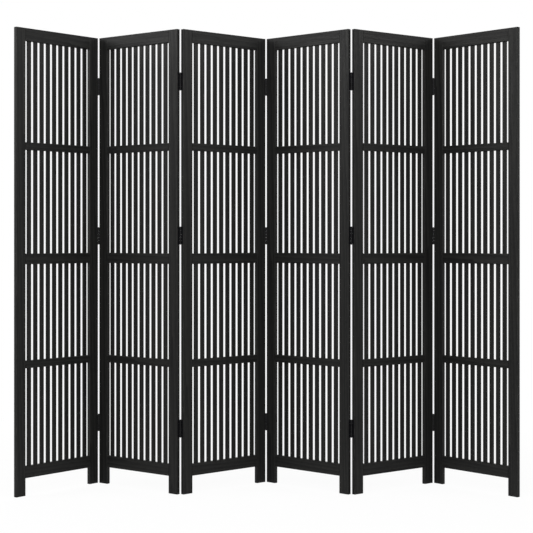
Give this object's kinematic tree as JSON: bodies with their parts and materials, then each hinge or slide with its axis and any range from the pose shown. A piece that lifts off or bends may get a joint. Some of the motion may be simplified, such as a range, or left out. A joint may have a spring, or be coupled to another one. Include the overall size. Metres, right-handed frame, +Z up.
{
  "type": "folding screen",
  "caption": "Free-standing slatted wood room divider whose framed panels are joined by butt hinges and fold up like an accordion.",
  "frame": {"origin": "floor level, below the middle of the standing screen's bounding box", "axes": "+X along the screen from the first panel to the last, +Y from its front to its back, +Z up"},
  "size_m": [1.8286, 0.3332, 1.7],
  "materials": {
    "painted_wood": "black satin paint",
    "hinge_leaves": "black steel",
    "hinge_pins": "black steel",
    "hinge_screws": "black steel"
  },
  "bodies": {
    "panel_1": {"panel_1_left_stile": "painted_wood", "panel_1_right_stile": "painted_wood", "panel_1_bottom_rail": "painted_wood", "panel_1_middle_rail": "painted_wood", "panel_1_top_rail": "painted_wood", "panel_1_cross_rails": "painted_wood", "panel_1_slats": "painted_wood", "panel_1_hinge_leaves": "hinge_leaves", "panel_1_hinge_screws": "hinge_screws", "hinge_pins_1_2": "hinge_pins"},
    "panel_2": {"panel_2_left_stile": "painted_wood", "panel_2_right_stile": "painted_wood", "panel_2_bottom_rail": "painted_wood", "panel_2_middle_rail": "painted_wood", "panel_2_top_rail": "painted_wood", "panel_2_cross_rails": "painted_wood", "panel_2_slats": "painted_wood", "panel_2_hinge_leaves": "hinge_leaves", "panel_2_hinge_screws": "hinge_screws", "hinge_pins_2_3": "hinge_pins"},
    "panel_3": {"panel_3_left_stile": "painted_wood", "panel_3_right_stile": "painted_wood", "panel_3_bottom_rail": "painted_wood", "panel_3_middle_rail": "painted_wood", "panel_3_top_rail": "painted_wood", "panel_3_cross_rails": "painted_wood", "panel_3_slats": "painted_wood", "panel_3_hinge_leaves": "hinge_leaves", "panel_3_hinge_screws": "hinge_screws", "hinge_pins_3_4": "hinge_pins"},
    "panel_4": {"panel_4_left_stile": "painted_wood", "panel_4_right_stile": "painted_wood", "panel_4_bottom_rail": "painted_wood", "panel_4_middle_rail": "painted_wood", "panel_4_top_rail": "painted_wood", "panel_4_cross_rails": "painted_wood", "panel_4_slats": "painted_wood", "panel_4_hinge_leaves": "hinge_leaves", "panel_4_hinge_screws": "hinge_screws", "hinge_pins_4_5": "hinge_pins"},
    "panel_5": {"panel_5_left_stile": "painted_wood", "panel_5_right_stile": "painted_wood", "panel_5_bottom_rail": "painted_wood", "panel_5_middle_rail": "painted_wood", "panel_5_top_rail": "painted_wood", "panel_5_cross_rails": "painted_wood", "panel_5_slats": "painted_wood", "panel_5_hinge_leaves": "hinge_leaves", "panel_5_hinge_screws": "hinge_screws", "hinge_pins_5_6": "hinge_pins"},
    "panel_6": {"panel_6_left_stile": "painted_wood", "panel_6_right_stile": "painted_wood", "panel_6_bottom_rail": "painted_wood", "panel_6_middle_rail": "painted_wood", "panel_6_top_rail": "painted_wood", "panel_6_cross_rails": "painted_wood", "panel_6_slats": "painted_wood", "panel_6_hinge_leaves": "hinge_leaves", "panel_6_hinge_screws": "hinge_screws"}
  },
  "joints": [
    {"name": "fold_1_2", "type": "hinge", "parent": "panel_2", "child": "panel_1", "pos_m": [-0.64386, 0.13963, 0], "axis": [0, 0, -1], "range_deg": [-91.9, 88.1]},
    {"name": "fold_2_3", "type": "hinge", "parent": "panel_3", "child": "panel_2", "pos_m": [-0.31681, -0.09891, 0], "axis": [0, 0, 1], "range_deg": [-100.2, 79.8]},
    {"name": "fold_3_4", "type": "hinge", "parent": "panel_3", "child": "panel_4", "pos_m": [-0.00359, 0.15751, 0], "axis": [0, 0, 1], "range_deg": [-96.7, 83.3]},
    {"name": "fold_4_5", "type": "hinge", "parent": "panel_4", "child": "panel_5", "pos_m": [0.30829, -0.10054, 0], "axis": [0, 0, -1], "range_deg": [-100.1, 79.9]},
    {"name": "fold_5_6", "type": "hinge", "parent": "panel_5", "child": "panel_6", "pos_m": [0.63617, 0.13685, 0], "axis": [0, 0, 1], "range_deg": [-93.6, 86.4]}
  ]
}
